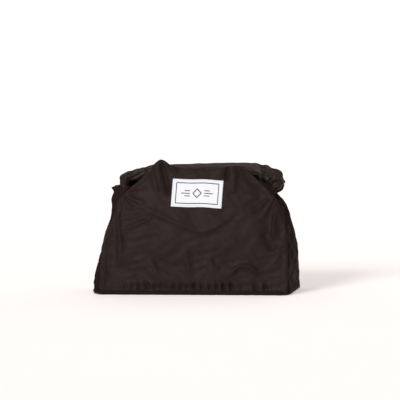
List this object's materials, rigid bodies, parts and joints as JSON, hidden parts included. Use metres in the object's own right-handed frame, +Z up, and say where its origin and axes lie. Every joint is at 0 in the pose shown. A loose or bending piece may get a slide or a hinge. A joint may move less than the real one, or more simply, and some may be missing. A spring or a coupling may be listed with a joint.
{
  "type": "drawstring pouch",
  "caption": "Soft fabric pouch whose front and back panels fold down flat, with gathered sides drawn up by cords and a zipped inner pocket.",
  "frame": {"origin": "middle of the base, on the surface it stands on", "axes": "+X to the viewer's right along the width, +Y from the front panel to the back panel, +Z up"},
  "size_m": [0.236, 0.093, 0.158],
  "materials": {
    "shell_fabric": "smooth satin nylon",
    "lining_fabric": "coated taffeta",
    "piping_fabric": "satin nylon over a cord",
    "label_fabric": "woven satin label",
    "thread": "polyester thread",
    "cord": "braided polyester",
    "board": "matte sheet",
    "foam": "open foam",
    "lock_plastic": "moulded satin",
    "spring_steel": "drawn wire",
    "zip_tape": "knitted polyester tape",
    "zip_coil": "moulded nylon coil",
    "zip_metal": "polished gunmetal"
  },
  "bodies": {
    "bag_body": {"base_panel": "shell_fabric", "base_board": "board", "base_foam": "foam", "base_lining": "lining_fabric", "base_piping": "piping_fabric", "left_side_panel": "shell_fabric", "right_side_panel": "shell_fabric", "left_side_lining": "lining_fabric", "right_side_lining": "lining_fabric", "left_cord_casing": "lining_fabric", "right_cord_casing": "lining_fabric", "left_drawcord": "cord", "right_drawcord": "cord", "left_lock_barrel": "lock_plastic", "right_lock_barrel": "lock_plastic", "left_lock_spring": "spring_steel", "right_lock_spring": "spring_steel"},
    "front_flap": {"front_panel": "shell_fabric", "front_lining": "lining_fabric", "front_hem": "shell_fabric", "front_snap": "zip_metal", "label": "label_fabric", "label_stitches": "thread"},
    "back_flap": {"back_panel": "shell_fabric", "back_lining": "lining_fabric", "back_hem": "shell_fabric", "back_snap": "zip_metal", "zip_pocket": "lining_fabric", "zip_tape_upper": "zip_tape", "zip_tape_lower": "zip_tape", "zip_coil_upper": "zip_coil", "zip_coil_lower": "zip_coil", "zip_stops": "zip_metal"},
    "zip_runner": {"zip_slider": "zip_metal"},
    "zip_tab": {"zip_pull": "zip_metal"},
    "left_lock_button": {"left_lock_plunger": "lock_plastic"},
    "right_lock_button": {"right_lock_plunger": "lock_plastic"}
  },
  "joints": [
    {"name": "front_fold", "type": "hinge", "parent": "bag_body", "child": "front_flap", "pos_m": [0, -0.044, 0.0025], "axis": [1, 0, 0], "range_deg": [0, 92]},
    {"name": "back_fold", "type": "hinge", "parent": "bag_body", "child": "back_flap", "pos_m": [0, 0.044, 0.0025], "axis": [-1, 0, 0], "range_deg": [0, 92]},
    {"name": "zip_travel", "type": "slide", "parent": "back_flap", "child": "zip_runner", "axis": [-1, 0, 0], "range_m": [0, 0.13]},
    {"name": "zip_tab_swing", "type": "hinge", "parent": "zip_runner", "child": "zip_tab", "pos_m": [0.065, 0.02161, 0.09589], "axis": [-1, 0, 0], "range_deg": [-8, 110]},
    {"name": "left_lock_press", "type": "slide", "parent": "bag_body", "child": "left_lock_button", "axis": [0, 0, -1], "range_m": [0, 0.0035], "stiffness_N_per_m": 300, "springref_m": -0.004, "deforming": ["left_lock_spring"]},
    {"name": "right_lock_press", "type": "slide", "parent": "bag_body", "child": "right_lock_button", "axis": [0, 0, -1], "range_m": [0, 0.0035], "stiffness_N_per_m": 300, "springref_m": -0.004, "deforming": ["right_lock_spring"]}
  ]
}
